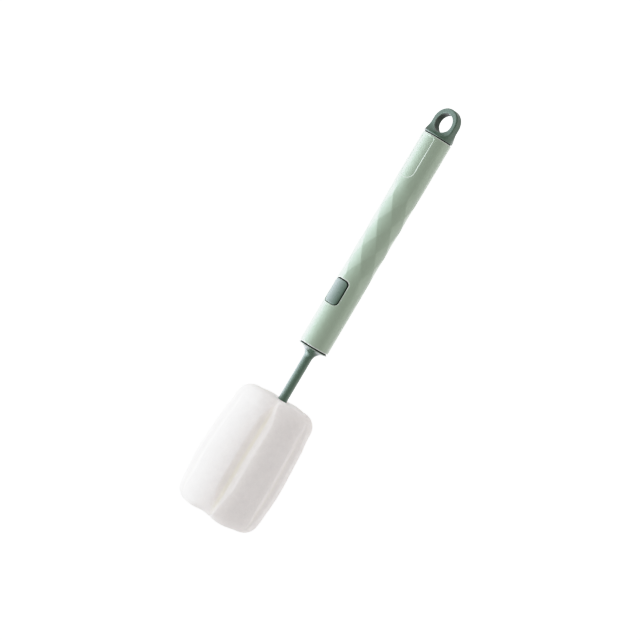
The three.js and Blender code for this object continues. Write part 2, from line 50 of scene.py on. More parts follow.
# ---- sizes in millimetres, as in the CAD model ----------------------------------------------------------
BUTTON_Z = -132.2
WINDOW_HALF_W, WINDOW_HALF_H, WINDOW_CORNER_R = 6.1, 9.3, 3.0
HANDLE_TOP_Z, HANDLE_BOTTOM_Z = -10.9, -172.15
HANDLE_R, HANDLE_HEAD_R = 10.65, 10.7
BORE_R = 8.6
PANEL_TOP_Z, PANEL_BOTTOM_Z, PANEL_HALF_W, PANEL_CORNER_R, PANEL_DEPTH = -12.3, -44.1, 5.4, 1.2, 0.3
FACET_TOP_Z, FACET_HALF_PITCH, FACET_ROWS, FACET_FADE = -57.3, 10.05, 6, 10.5
FACET_ANGLE = math.pi / 6
FOAM_TOP_Z = -212.2
FOAM_LOBES = 6
GROOVE_FIRST = math.radians(36.5)
GROOVE_DEPTHS = np.array([3.8, 1.25, 3.4, 3.7, 3.2, 1.1])


# ---- mesh helpers ---------------------------------------------------------------------------------------
def add_piece(name, verts_mm, faces, material, normals=None):
    mesh = bpy.data.meshes.new(name)
    mesh.from_pydata((np.asarray(verts_mm, float) * MM).tolist(), [], [[int(i) for i in f] for f in faces])
    mesh.update()
    mesh.polygons.foreach_set("use_smooth", np.ones(len(mesh.polygons), bool))
    if normals is not None:
        mesh.normals_split_custom_set_from_vertices(np.asarray(normals, float).tolist())
    obj = bpy.data.objects.new(name, mesh)
    bpy.context.scene.collection.objects.link(obj)
    if material:
        mesh.materials.append(material)
    return obj


def smoothstep(a, b, x):
    t = np.clip((np.asarray(x, float) - a) / (b - a), 0, 1)
    return t * t * (3 - 2 * t)


def round_and(a, b, r):
    """Overlap of two fields, with the edge between them rounded to radius r."""
    return np.minimum(np.maximum(a, b), -r) + np.hypot(np.maximum(a + r, 0), np.maximum(b + r, 0))


def round_or(a, b, r):
    """Union of two fields, with a hollow fillet of radius r where they meet."""
    return np.maximum(np.minimum(a, b), r) - np.hypot(np.maximum(r - a, 0), np.maximum(r - b, 0))


def box_field(x, y, z, low, high):
    low, high = np.array(low, float), np.array(high, float)
    mid, half = (low + high) / 2, (high - low) / 2
    qx, qy, qz = np.abs(x - mid[0]) - half[0], np.abs(y - mid[1]) - half[1], np.abs(z - mid[2]) - half[2]
    outside = np.sqrt(np.maximum(qx, 0) ** 2 + np.maximum(qy, 0) ** 2 + np.maximum(qz, 0) ** 2)
    return outside + np.minimum(np.maximum(qx, np.maximum(qy, qz)), 0)


def between(z, z0, z1):
    return np.abs(z - (z0 + z1) / 2) - abs(z1 - z0) / 2


def polygonise(field, low, high, step, relax=2):
    """Closed quad mesh of the surface where field is 0, with its points drawn onto the surface, and their normals."""
    low, high = np.array(low, float), np.array(high, float)
    counts = np.ceil((high - low) / step).astype(int) + 1
    grid = np.meshgrid(*[low[i] + step * np.arange(counts[i]) for i in range(3)], indexing="ij")
    values = field(*grid)
    inside = values < 0
    nx, ny, nz = counts
    total = np.zeros((nx - 1, ny - 1, nz - 1), np.int8)
    for i in (0, 1):
        for j in (0, 1):
            for k in (0, 1):
                total += inside[i : nx - 1 + i, j : ny - 1 + j, k : nz - 1 + k]
    active = (total > 0) & (total < 8)
    index = np.full(active.shape, -1, np.int64)
    index[active] = np.arange(active.sum())
    cells = np.argwhere(active)
    place, count = np.zeros((len(cells), 3)), np.zeros(len(cells))
    for axis in range(3):
        b, c = [k for k in range(3) if k != axis]
        for p in (0, 1):
            for q in (0, 1):
                start = cells.copy()
                start[:, b] += p
                start[:, c] += q
                end = start.copy()
                end[:, axis] += 1
                v0, v1 = values[tuple(start.T)], values[tuple(end.T)]
                cross = (v0 < 0) != (v1 < 0)
                point = start.astype(float)
                point[cross, axis] += v0[cross] / (v0[cross] - v1[cross])
                place[cross] += point[cross]
                count[cross] += 1
    verts = low + step * place / count[:, None]
    quads = []
    for axis in range(3):
        b, c = (axis + 1) % 3, (axis + 2) % 3
        first, second = [slice(None)] * 3, [slice(None)] * 3
        first[axis], second[axis] = slice(0, -1), slice(1, None)
        here, there = inside[tuple(first)], inside[tuple(second)]
        edges = np.argwhere(here != there)
        keep = (edges[:, b] > 0) & (edges[:, b] < counts[b] - 1) & (edges[:, c] > 0) & (edges[:, c] < counts[c] - 1)
        edges = edges[keep]
        faces_up = here[tuple(edges.T)]
        corners = []
        for db, dc in ((-1, -1), (0, -1), (0, 0), (-1, 0)):
            cell = edges.copy()
            cell[:, b] += db
            cell[:, c] += dc
            corners.append(index[tuple(cell.T)])
        quad = np.stack(corners, 1)
        quad[~faces_up] = quad[~faces_up][:, ::-1]
        quads.append(quad)
    quads = np.concatenate(quads)

    def slope(p, e=0.004):
        g = np.empty_like(p)
        for axis in range(3):
            up, down = p.copy(), p.copy()
            up[:, axis] += e
            down[:, axis] -= e
            g[:, axis] = (field(*up.T) - field(*down.T)) / (2 * e)
        return g

    def settle(p, rounds):
        for _ in range(rounds):
            g = slope(p)
            move = -(field(*p.T) / np.maximum((g * g).sum(1), 1e-3))[:, None] * g
            length = np.linalg.norm(move, axis=1)
            p = p + move * np.minimum(1, 0.5 * step / np.maximum(length, 1e-9))[:, None]
        return p

    verts = settle(verts, 4)
    edge = np.concatenate([quads[:, [i, (i + 1) % 4]] for i in range(4)])
    for _ in range(relax):
        near, number = np.zeros_like(verts), np.zeros(len(verts))
        np.add.at(near, edge[:, 0], verts[edge[:, 1]])
        np.add.at(number, edge[:, 0], 1)
        verts = settle(0.5 * verts + 0.5 * near / np.maximum(number, 1)[:, None], 3)
    normals = slope(verts)
    normals /= np.maximum(np.linalg.norm(normals, axis=1), 1e-9)[:, None]
    return verts, quads, normals


def ring_faces(rows, columns, close_rows=False):
    """Quads of a grid whose columns close on themselves, and its rows too if asked."""
    faces = []
    for i in range(rows if close_rows else rows - 1):
        k = (i + 1) % rows
        for j in range(columns):
            n = (j + 1) % columns
            faces.append((i * columns + j, i * columns + n, k * columns + n, k * columns + j))
    return faces


def face_out(obj):
    bm = bmesh.new()
    bm.from_mesh(obj.data)
    bmesh.ops.recalc_face_normals(bm, faces=bm.faces)
    bm.to_mesh(obj.data)
    bm.free()


def loops_solid(name, loops):
    """Closed mesh from a stack of loops with the same number of points, flat at both ends."""
    count = len(loops[0])
    verts = np.concatenate(loops)
    faces = ring_faces(len(loops), count)
    faces.append(tuple(range(count))[::-1])
    faces.append(tuple((len(loops) - 1) * count + i for i in range(count)))
    obj = add_piece(name, verts, faces, None)
    face_out(obj)
    return obj


def cut_away(obj, *cutters):
    for cutter in cutters:
        mod = obj.modifiers.new("cut", "BOOLEAN")
        mod.operation, mod.solver, mod.object = "DIFFERENCE", "EXACT", cutter
    bpy.context.view_layer.update()
    shaped = bpy.data.meshes.new_from_object(obj.evaluated_get(bpy.context.evaluated_depsgraph_get()))
    obj.modifiers.clear()
    old = obj.data
    obj.data = shaped
    bpy.data.meshes.remove(old)
    for cutter in cutters:
        mesh = cutter.data
        bpy.data.objects.remove(cutter)
        bpy.data.meshes.remove(mesh)


def mark_edges(obj, pale, name="edge"):
    """How much painted highlight (or, for gaps, painted shade) each point gets, from 0 to 1; pale takes the points' x,
    y, z in millimetres.
    """
    points = np.empty(len(obj.data.vertices) * 3)
    obj.data.vertices.foreach_get("co", points)
    layer = obj.data.attributes.new(name, "FLOAT", "POINT")
    layer.data.foreach_set("value", np.clip(pale(*(points.reshape(-1, 3).T / MM)), 0, 1))


def sharpen(obj, degrees):
    obj.data.polygons.foreach_set("use_smooth", np.ones(len(obj.data.polygons), bool))
    obj.data.set_sharp_from_angle(angle=math.radians(degrees))


def rounded_rectangle(half_w, half_h, r, offset=0.0, per_corner=14, per_side=(8, 16)):
    """Points (x, z) round the middle, anticlockwise; offset widens the outline evenly."""
    points = []
    w, h, rr = half_w + offset, half_h + offset, max(r + offset, 0.05)
    corners = [(w - rr, h - rr, 0), (-w + rr, h - rr, 90), (-w + rr, -h + rr, 180), (w - rr, -h + rr, 270)]
    for i, (cx, cz, start) in enumerate(corners):
        arc = [
            (cx + rr * math.cos(math.radians(start + 90 * k / per_corner)), cz + rr * math.sin(math.radians(start + 90 * k / per_corner)))
            for k in range(per_corner + 1)
        ]
        points += arc
        nx, nz, nstart = corners[(i + 1) % 4]
        to = (nx + rr * math.cos(math.radians(nstart)), nz + rr * math.sin(math.radians(nstart)))
        n = per_side[0] if i % 2 == 0 else per_side[1]
        points += [(arc[-1][0] + (to[0] - arc[-1][0]) * k / n, arc[-1][1] + (to[1] - arc[-1][1]) * k / n) for k in range(1, n)]
    return np.array(points)


# ---- materials ------------------------------------------------------------------------------------------
def material(name):
    m = bpy.data.materials.new(name)
    m.use_nodes = True
    nodes, links = m.node_tree.nodes, m.node_tree.links
    return m, nodes, links, nodes["Principled BSDF"]


def noise(nodes, links, coords, scale, detail=2.0, roughness=0.5):
    n = nodes.new("ShaderNodeTexNoise")
    n.inputs["Scale"].default_value = scale
    n.inputs["Detail"].default_value = detail
    n.inputs["Roughness"].default_value = roughness
    links.new(coords, n.inputs["Vector"])
    return n


def ramp(nodes, links, value, stops):
    r = nodes.new("ShaderNodeValToRGB")
    e = r.color_ramp.elements
    while len(e) < len(stops):
        e.new(0.5)
    for k, (at, colour) in enumerate(stops):
        e[k].position = at
        e[k].color = (*colour, 1)
    links.new(value, r.inputs["Fac"])
    return r


def span(nodes, links, value, low, high):
    m = nodes.new("ShaderNodeMapRange")
    m.inputs["From Min"].default_value, m.inputs["From Max"].default_value = 0.3, 0.7
    m.inputs["To Min"].default_value, m.inputs["To Max"].default_value = low, high
    links.new(value, m.inputs["Value"])
    return m


def moulded(name, colour, painted_highlight_colour, spread, rough, grain, ior):
    """Satin moulded plastic: faint cloudy tone, painted highlights along its edges, painted shade in its gaps, slightly
    uneven gloss and a fine spark-eroded grain.
    """
    m, nodes, links, shader = material(name)
    coords = nodes.new("ShaderNodeTexCoord").outputs["Object"]
    cloud = noise(nodes, links, coords, 55, 3)
    dark = tuple(c * (1 - spread) for c in colour)
    light = tuple(c * (1 + spread) for c in colour)
    # painted highlight: where the "edge" mark is set, the colour turns towards the pale painted highlight colour
    edge = nodes.new("ShaderNodeAttribute")
    edge.attribute_name = "edge"
    blend = nodes.new("ShaderNodeMix")
    blend.data_type = "RGBA"
    links.new(edge.outputs["Fac"], blend.inputs[0])
    links.new(ramp(nodes, links, cloud.outputs["Fac"], [(0.3, dark), (0.7, light)]).outputs["Color"], blend.inputs[6])
    blend.inputs[7].default_value = (*painted_highlight_colour, 1)
    # painted shade: where the "gap" mark is set, the colour darkens to an eighth of itself and the gloss is turned
    # almost off
    gap = nodes.new("ShaderNodeAttribute")
    gap.attribute_name = "gap"
    shade = nodes.new("ShaderNodeMix")
    shade.data_type = "RGBA"
    links.new(gap.outputs["Fac"], shade.inputs[0])
    links.new(blend.outputs[2], shade.inputs[6])
    shade.inputs[7].default_value = (*(0.12 * c for c in colour), 1)
    links.new(shade.outputs[2], shader.inputs["Base Color"])
    dull = nodes.new("ShaderNodeMapRange")
    dull.inputs["To Min"].default_value, dull.inputs["To Max"].default_value = 0.5, 0.02
    links.new(gap.outputs["Fac"], dull.inputs["Value"])
    links.new(dull.outputs["Result"], shader.inputs["Specular IOR Level"])
    patch = noise(nodes, links, coords, 320, 2)
    links.new(span(nodes, links, patch.outputs["Fac"], rough - 0.04, rough + 0.04).outputs["Result"], shader.inputs["Roughness"])
    fine = noise(nodes, links, coords, 4200, 2, 0.6)
    bump = nodes.new("ShaderNodeBump")
    bump.inputs["Strength"].default_value = grain
    bump.inputs["Distance"].default_value = 0.00004
    links.new(fine.outputs["Fac"], bump.inputs["Height"])
    links.new(bump.outputs["Normal"], shader.inputs["Normal"])
    shader.inputs["IOR"].default_value = ior
    return m


def foam(name):
    """White open-cell foam: fine pores, a soft uneven skin, and light that sinks in."""
    m, nodes, links, shader = material(name)
    coords = nodes.new("ShaderNodeTexCoord").outputs["Object"]
    cloud = noise(nodes, links, coords, 230, 6, 0.75)
    # painted bounce light: along the grooves (the "edge" mark) the white turns warm yellow
    valley = nodes.new("ShaderNodeAttribute")
    valley.attribute_name = "edge"
    blend = nodes.new("ShaderNodeMix")
    blend.data_type = "RGBA"
    links.new(valley.outputs["Fac"], blend.inputs[0])
    links.new(
        ramp(nodes, links, cloud.outputs["Fac"], [(0.3, (0.795, 0.792, 0.76)), (0.7, (0.858, 0.855, 0.82))]).outputs["Color"], blend.inputs[6]
    )
    blend.inputs[7].default_value = (0.84, 0.835, 0.75, 1)
    links.new(blend.outputs[2], shader.inputs["Base Color"])
    cells = nodes.new("ShaderNodeTexVoronoi")
    cells.inputs["Scale"].default_value = 1500
    links.new(coords, cells.inputs["Vector"])
    lumps = noise(nodes, links, coords, 700, 3, 0.6)
    mix = nodes.new("ShaderNodeMath")
    mix.operation = "ADD"
    links.new(cells.outputs["Distance"], mix.inputs[0])
    links.new(lumps.outputs["Fac"], mix.inputs[1])
    bump = nodes.new("ShaderNodeBump")
    bump.inputs["Strength"].default_value = 0.24
    bump.inputs["Distance"].default_value = 0.00035
    links.new(mix.outputs["Value"], bump.inputs["Height"])
    links.new(bump.outputs["Normal"], shader.inputs["Normal"])
    patch = noise(nodes, links, coords, 500, 2)
    links.new(span(nodes, links, patch.outputs["Fac"], 0.9, 1.0).outputs["Result"], shader.inputs["Roughness"])
    shader.inputs["Specular IOR Level"].default_value = 0.15
    shader.subsurface_method = "BURLEY"
    shader.inputs["Subsurface Weight"].default_value = 1.0
    shader.inputs["Subsurface Radius"].default_value = (1.0, 0.95, 0.85)
    shader.inputs["Subsurface Scale"].default_value = 0.01
    return m


def steel(name):
    """Tempered spring steel, grey and slightly clouded, with an uneven dull gloss."""
    m, nodes, links, shader = material(name)
    coords = nodes.new("ShaderNodeTexCoord").outputs["Object"]
    cloud = noise(nodes, links, coords, 900, 3)
    links.new(
        ramp(nodes, links, cloud.outputs["Fac"], [(0.3, (0.15, 0.153, 0.16)), (0.7, (0.21, 0.213, 0.22))]).outputs["Color"],
        shader.inputs["Base Color"],
    )
    streak = noise(nodes, links, coords, 2600, 2)
    links.new(span(nodes, links, streak.outputs["Fac"], 0.34, 0.46).outputs["Result"], shader.inputs["Roughness"])
    shader.inputs["Metallic"].default_value = 1.0
    return m


SAGE = moulded("sage_plastic", (0.285, 0.378, 0.276), (0.86, 0.9, 0.86), 0.012, 0.38, 0.03, 1.6)
DARK = moulded("dark_plastic", (0.053, 0.101, 0.067), (0.34, 0.42, 0.37), 0.02, 0.38, 0.03, 1.4)
BUTTON = moulded("button_plastic", (0.054, 0.105, 0.07), (0.34, 0.42, 0.37), 0.02, 0.3, 0.03, 1.51)
STEM = moulded("stem_plastic", (0.06, 0.117, 0.077), (0.42, 0.48, 0.42), 0.02, 0.31, 0.03, 1.5)
IVORY = moulded("ivory_plastic", (0.74, 0.735, 0.69), (0.82, 0.815, 0.78), 0.01, 0.45, 0.04, 1.48)
FOAM = foam("white_foam")
STEEL = steel("spring_steel")


# ---- handle ---------------------------------------------------------------------------------------------
def handle_round(z):
    return HANDLE_R + (HANDLE_HEAD_R - HANDLE_R) * smoothstep(-125, -40, z)


def grip_radius(angle, half_pitches, round_r):
    """Each diamond of the grip is a saddle stretched between four points on the round."""
    a = angle / FACET_ANGLE
    i, j = np.round(a), np.round(half_pitches)
    on_point = np.mod(i + j, 2) == 0
    sideways = np.abs(a - i) > np.abs(half_pitches - j)
    step_i = np.where(a - i < 0, -1, 1)
    step_j = np.where(half_pitches - j < 0, -1, 1)
    i = i + np.where(on_point & sideways, step_i, 0)
    j = j + np.where(on_point & ~sideways, step_j, 0)
    p = half_pitches - j
    t = np.tan((a - i) * FACET_ANGLE)
    c, s = math.cos(FACET_ANGLE), math.sin(FACET_ANGLE)
    level = c + (1 - c) * (1 + p * p) / 2
    bend = t * (1 - c) / 2
    safe = np.where(np.abs(bend) < 1e-9, 1e-9, bend)
    q = np.where(np.abs(bend) < 1e-9, t * level / s, (-s + np.sqrt(s * s + 4 * bend * t * level)) / (2 * safe))
    x = round_r * (level - (1 - c) * q * q / 2)
    return np.hypot(x, round_r * s * q)


def handle_radius(angle, z):
    round_r = handle_round(z)
    b = (z - FACET_TOP_Z) / FACET_HALF_PITCH
    grip = grip_radius(angle, np.clip(b, -FACET_ROWS, 0), round_r)
    over = np.maximum(0, np.maximum(z - FACET_TOP_Z, FACET_TOP_Z - FACET_ROWS * FACET_HALF_PITCH - z))
    return round_r - 0.66 * (round_r - grip) * (1 - smoothstep(0, FACET_FADE, over))


def panel_field(x, z):
    """Distance from the panel's outline, negative inside: nearly square top corners, half-round lower end."""
    low = PANEL_BOTTOM_Z + PANEL_HALF_W
    round_end = np.hypot(x, z - low) - PANEL_HALF_W
    qx, qz = np.abs(x) - (PANEL_HALF_W - PANEL_CORNER_R), z - (PANEL_TOP_Z - PANEL_CORNER_R)
    straight = np.hypot(np.maximum(qx, 0), np.maximum(qz, 0)) + np.minimum(np.maximum(qx, qz), 0) - PANEL_CORNER_R
    return np.where(z < low, round_end, straight)


def make_handle():
    coarse = np.arange(0, 360, 2.0)
    fine = set(coarse) | set(np.arange(0, 37)) | set(360.0 - np.arange(1, 37))
    fine |= set(np.arange(28.5, 34.6, 0.5)) | set(360 - np.arange(28.5, 34.6, 0.5))
    fine = np.array(sorted(fine))
    lip = 0.45
    low_facet = FACET_TOP_Z - FACET_ROWS * FACET_HALF_PITCH
    cell = FACET_HALF_PITCH / 15
    rows = []  # (columns, outside or bore, z, added to the radius)
    for k in range(9):
        a = math.radians(90 * k / 8)
        rows.append((fine, "out", HANDLE_TOP_Z - lip + lip * math.cos(a), -lip + lip * math.sin(a)))
    down = [np.arange(-11.6, -13.5, -0.2), np.linspace(-13.6, -37.6, 22), np.arange(-37.8, -45.3, -0.2), [-45.7, -46.2]]
    rows += [(fine, "out", z, 0.0) for z in np.concatenate(down)]
    rows += [(coarse, "out", z, 0.0) for z in np.linspace(FACET_TOP_Z + FACET_FADE, FACET_TOP_Z, 17)[:-1]]
    rows += [(coarse, "out", FACET_TOP_Z - k * cell, 0.0) for k in range(FACET_ROWS * 15 + 1)]
    rows += [(coarse, "out", z, 0.0) for z in np.linspace(low_facet, low_facet - FACET_FADE, 17)[1:]]
    rows += [(coarse, "out", z, 0.0) for z in np.linspace(-129.0, HANDLE_BOTTOM_Z + 1.0, 44)]
    for k in range(9):
        a = math.radians(90 * k / 8)
        rows.append((coarse, "out", HANDLE_BOTTOM_Z + lip - lip * math.sin(a), -lip + lip * math.cos(a)))
    rows += [(coarse, "in", HANDLE_BOTTOM_Z, 0.35), (coarse, "in", HANDLE_BOTTOM_Z + 0.35, 0.0)]
    rows += [(coarse, "in", z, 0.0) for z in np.linspace(-168, -16, 20)]
    rows += [(coarse, "in", HANDLE_TOP_Z - 0.35, 0.0), (coarse, "in", HANDLE_TOP_Z, 0.35)]
    verts, first = [], [0]
    for columns, kind, z, extra in rows:
        angle = np.radians(columns)
        level = np.full(len(angle), float(z))
        r = handle_radius(angle, level) + extra if kind == "out" else np.full(len(angle), BORE_R + extra)
        if kind == "out" and z > -46:
            front = (columns < 60) | (columns > 300)
            sunk = PANEL_DEPTH * (1 - smoothstep(-0.1, 0.38, panel_field(r * np.sin(angle), level)))
            r = r - np.where(front, sunk, 0)
        verts.append(np.stack([r * np.sin(angle), -r * np.cos(angle), level], 1))
        first.append(first[-1] + len(angle))
    verts = np.concatenate(verts)
    faces = []
    for n, (columns, kind, z, _) in enumerate(rows):
        m = (n + 1) % len(rows)
        here, there = columns, rows[m][0]
        facet = kind == "out" and low_facet - FACET_FADE < z < FACET_TOP_Z + FACET_FADE - 0.01
        few = here if len(here) <= len(there) else there
        for j in range(len(few)):
            a0, a1 = few[j], few[j + 1] if j + 1 < len(few) else 360.0
            top = [first[n] + k % len(here) for k in range(np.searchsorted(here, a0), np.searchsorted(here, a1 - 1e-6) + 1)]
            low = [first[m] + k % len(there) for k in range(np.searchsorted(there, a0), np.searchsorted(there, a1 - 1e-6) + 1)]
            if facet and len(top) == len(low) == 2:
                # fold the cell along whichever diagonal lies closer to the surface, so the ridges stay straight
                i, o, q, w = top[0], top[1], low[1], low[0]
                error = []
                for p0, p1 in ((i, q), (o, w)):
                    mid = (verts[p0] + verts[p1]) / 2
                    a = math.atan2(mid[0], -mid[1])
                    error.append(abs(math.hypot(mid[0], mid[1]) - float(handle_radius(np.array(a), np.array(mid[2])))))
                faces += [(i, o, q), (i, q, w)] if error[0] < error[1] else [(i, o, w), (o, q, w)]
            else:
                faces.append(tuple(top + low[::-1]))
    shell = add_piece("handle_grip", verts, faces, SAGE)
    face_out(shell)

    # button window, with a rounded lip where it meets the outside
    lip = 0.45
    surface = HANDLE_R + 0.02
    levels = [(None, 15.0, lip + 0.3), (surface + 0.8, None, lip + 0.1)]
    for k in range(11):
        a = math.radians(90 - 90 * k / 10)
        levels.append((surface - lip + lip * math.sin(a), None, lip - lip * math.cos(a)))
    levels += [(None, 5.2, 0.0)]
    loops = []
    for radius, plane, offset in levels:
        o = rounded_rectangle(WINDOW_HALF_W, WINDOW_HALF_H, WINDOW_CORNER_R, offset)
        front = np.full(len(o), plane) if plane else np.sqrt(np.maximum(radius**2 - o[:, 0] ** 2, 1))
        loops.append(np.stack([o[:, 0], -front, o[:, 1] + BUTTON_Z], 1))
    window = loops_solid("window_cutter", loops)
    cut_away(shell, window)
    sharpen(shell, 18)

    # painted highlights: the rims at both ends, the lip round the button window and the panel's wall are lightened as
    # if light caught them
    def pale(x, y, z):
        r = np.hypot(x, y)
        outside = r > 9.7
        rims = np.maximum(smoothstep(HANDLE_BOTTOM_Z + 0.5, HANDLE_BOTTOM_Z + 0.25, z), 0.6 * smoothstep(HANDLE_TOP_Z - 0.5, HANDLE_TOP_Z - 0.25, z))
        qx, qz = np.abs(x) - (WINDOW_HALF_W - WINDOW_CORNER_R), np.abs(z - BUTTON_Z) - (WINDOW_HALF_H - WINDOW_CORNER_R)
        off = np.hypot(np.maximum(qx, 0), np.maximum(qz, 0)) + np.minimum(np.maximum(qx, qz), 0) - WINDOW_CORNER_R
        window_lip = (y < 0) * (off > 0.03) * (off < lip + 0.02) * (r > HANDLE_R - lip)
        wall = np.exp(-(((panel_field(x, z) - 0.14) / 0.17) ** 2)) * (y < 0) * (z > -46) * smoothstep(-13.2, -15.5, z)
        window_lip = window_lip * (0.2 + 0.5 * smoothstep(2, 8, z - BUTTON_Z))
        return np.where(outside, np.maximum(np.maximum(rims, window_lip), 0.75 * wall), 0)

    # painted shade on the window's walls beside the button's right and upper sides
    def deep(x, y, z):
        sides = (np.abs(x) < WINDOW_HALF_W + 0.02) & (np.abs(z - BUTTON_Z) < WINDOW_HALF_H + 0.02) & (y < 0)
        return np.where(sides & (np.hypot(x, y) < HANDLE_R - 0.3), shaded_side(x, z), 0.0)

    mark_edges(shell, pale)
    mark_edges(shell, deep, "gap")
    return shell


# ---- hanging eye ----------------------------------------------------------------------------------------
def cap_field(x, y, z):
    ay, ax, around = np.abs(y), np.abs(x), np.hypot(x, y)
    fillet, fillet_z, half, ring, cap = 6.65, -2.55, 3.0, 10.35, 10.6
    slab = np.where(z >= fillet_z, ay - half, fillet - np.hypot(np.minimum(ay - half - fillet, 0), z - fillet_z))
    wide = ring + (cap + 0.3 - ring) * smoothstep(-2.0, -9.6, z)
    outline = np.where(z > 0.54, np.hypot(x, z - 0.54) - ring, ax - wide)
    body = round_and(slab, outline, 1.0)
    body = round_and(body, 7.0 - np.hypot(x, z), 0.3)
    body = round_and(body, around - cap, 0.25)
    body = np.maximum(body, -9.6 - z)
    foot = round_and(around - cap, between(z, -10.2, -9.2), 0.22)
    plug = round_and(around - 8.3, between(z, -20.5, -11.5), 0.4)
    neck = np.maximum(around - 6.0, between(z, -12.5, -9.6))
    neck = np.minimum(neck, np.maximum(around - 9.8, between(z, -10.75, -9.6)))
    hollow = np.maximum(around - 6.6, z + 13.2)
    return np.minimum(round_or(body, foot, 0.35), np.minimum(neck, round_and(plug, -hollow, 0.3)))


def make_cap():
    verts, quads, normals = polygonise(cap_field, (-11.3, -11.3, -21.2), (11.3, 11.3, 11.5), 0.24)
    cap = add_piece("hanging_eye_cap", verts, quads, DARK, normals)

    # painted highlights on the rim round the eye and on the foot's lower edge
    def pale(x, y, z):
        rim = np.exp(-(((np.hypot(x, z) - 7.1) / 0.3) ** 2)) * smoothstep(2.5, 2.75, np.abs(y)) * (z > -7.3)
        foot = smoothstep(-9.75, -10.0, z) * (np.hypot(x, y) > 10.2)
        return np.maximum(0.3 * rim, 0.5 * foot)

    mark_edges(cap, pale)

    # painted shade in the gap under the foot and on the eye's inner wall
    def deep(x, y, z):
        eye = 0.7 * smoothstep(2.75, 2.1, np.abs(y)) * (np.hypot(x, z) < 7.2)
        return np.maximum(smoothstep(-10.12, -10.25, z) * (z > -10.9), eye)

    mark_edges(cap, deep, "gap")
    return cap


# ---- button and its spring ------------------------------------------------------------------------------
def button_field(x, y, z):
    front, dz = -y, z - BUTTON_Z
    half_w, half_h, r = WINDOW_HALF_W - 0.44, WINDOW_HALF_H - 0.46, WINDOW_CORNER_R - 0.25
    qx, qz = np.abs(x + 0.26) - (half_w - r), np.abs(dz + 0.26) - (half_h - r)
    outline = np.hypot(np.maximum(qx, 0), np.maximum(qz, 0)) + np.minimum(np.maximum(qx, qz), 0) - r
    pad = round_and(outline, np.hypot(x, y) - 10.7, 0.3 + 0.5 * smoothstep(2, -7, dz))
    pad = round_and(pad, 7.0 - front, 0.2)
    tabs = box_field(x, front, dz, (-2.4, 7.1, -10.3), (2.4, 7.6, 10.3)) - 0.1
    pad = np.minimum(pad, tabs)
    pocket = np.maximum(np.hypot(x, dz) - 3.75, front - 9.0)
    pad = round_and(pad, -pocket, 0.15)
    foot = box_field(x, front, dz, (-1.3, 5.5, -1.7), (1.3, 9.4, 1.7)) - 0.3
    return round_or(pad, foot, 0.2)


def shaded_side(x, z):
    """1 along the right and upper sides of the button, where its gap is widest, 0 along the others."""
    return np.maximum(smoothstep(0, 3, x), smoothstep(4, 7, z - BUTTON_Z))


def make_button():
    verts, quads, normals = polygonise(
        button_field, (-6.4, -11.2, BUTTON_Z - 11.2), (6.4, -4.7, BUTTON_Z + 11.2), 0.2
    )
    button = add_piece("thumb_button", verts, quads, BUTTON, normals)
    # painted shade on the button's right and upper side walls, where its gap shows
    mark_edges(button, lambda x, y, z: smoothstep(10.35, 10.1, np.hypot(x, y)) * shaded_side(x, z), "gap")
    return button


def tube_along(points, radius, around):
    """Capped round tube along points, with a steady frame."""
    points = np.asarray(points, float)
    along = np.gradient(points, axis=0)
    along /= np.linalg.norm(along, axis=1)[:, None]
    side = np.cross(along[0], [0, 1, 0])
    side /= np.linalg.norm(side)
    verts = []
    for p, t in zip(points, along):
        side = side - t * side.dot(t)
        side /= np.linalg.norm(side)
        other = np.cross(t, side)
        a = TAU * np.arange(around) / around
        verts.append(p + radius * (np.cos(a)[:, None] * side + np.sin(a)[:, None] * other))
    verts = np.concatenate(verts)
    faces = ring_faces(len(points), around)
    faces += [tuple(range(around))[::-1], tuple((len(points) - 1) * around + i for i in range(around))]
    return verts, faces


def make_button_spring():
    t = np.linspace(0, 1, 181)
    low, high = 4.95 + 0.15 + 0.25, 9.0 - 0.15 - 0.25
    rise = smoothstep(0, 1, t) * 0.5 + t * 0.5
    turn = TAU * 3 * t
    points = np.stack([3.1 * np.cos(turn), -(low + (high - low) * rise), BUTTON_Z + 3.1 * np.sin(turn)], 1)
    verts, faces = tube_along(points, 0.25, 12)
    spring = add_piece("coil_spring", verts, faces, STEEL)
    face_out(spring)
    sharpen(spring, 50)
    return spring


# ---- stem, latch strip ----------------------------------------------------------------------------------
def stem_field(x, y, z):
    front, around = -y, np.hypot(x, y)
    tang = round_and(around - 4.0, between(z, -165.0, -118.0), 0.9)
    plug = round_and(around - 8.3, between(z, -172.0, -163.3), 0.4)
    ribs = np.minimum(np.abs(x), np.abs(y)) - 1.2
    pocket = np.maximum(np.maximum(-ribs, 4.2 - around), between(z, -170.8, -165.1))
    plug = np.minimum(round_and(plug, -pocket, 0.25), np.maximum(around - 5.6, between(z, -174.0, -171.0)))
    flange = round_and(around - 10.5, between(z, -173.65, -173.05), 0.22)
    flange = np.minimum(flange, np.maximum(around - 9.7, between(z, -173.5, -172.3)))
    curve = np.where(
        z > -180.8, 7.0 - np.hypot(np.minimum(around - 10.3, 0), z + 180.8), around - 3.3
    )
    rod = round_and(np.maximum(curve, z + 173.4), around - 10.3, 0.2)
    rod = round_and(rod, -276.0 - z, 0.8)
    body = np.minimum(np.minimum(tang, plug), np.minimum(round_or(flange, rod, 0.15), rod))
    key = box_field(x, front, z, (-1.0, -7.7, -164.0), (1.0, -3.5, -158.2)) - 0.2
    body = np.minimum(body, key)
    slot = box_field(x, front, z, (-1.9, 0.9, BUTTON_Z - 18.5), (1.9, 8.0, -112.0))
    toe = box_field(x, front, z, (-1.9, -0.2, BUTTON_Z - 16.7), (1.9, 2.0, BUTTON_Z - 15.3))
    return round_and(body, -np.minimum(slot, toe), 0.12)


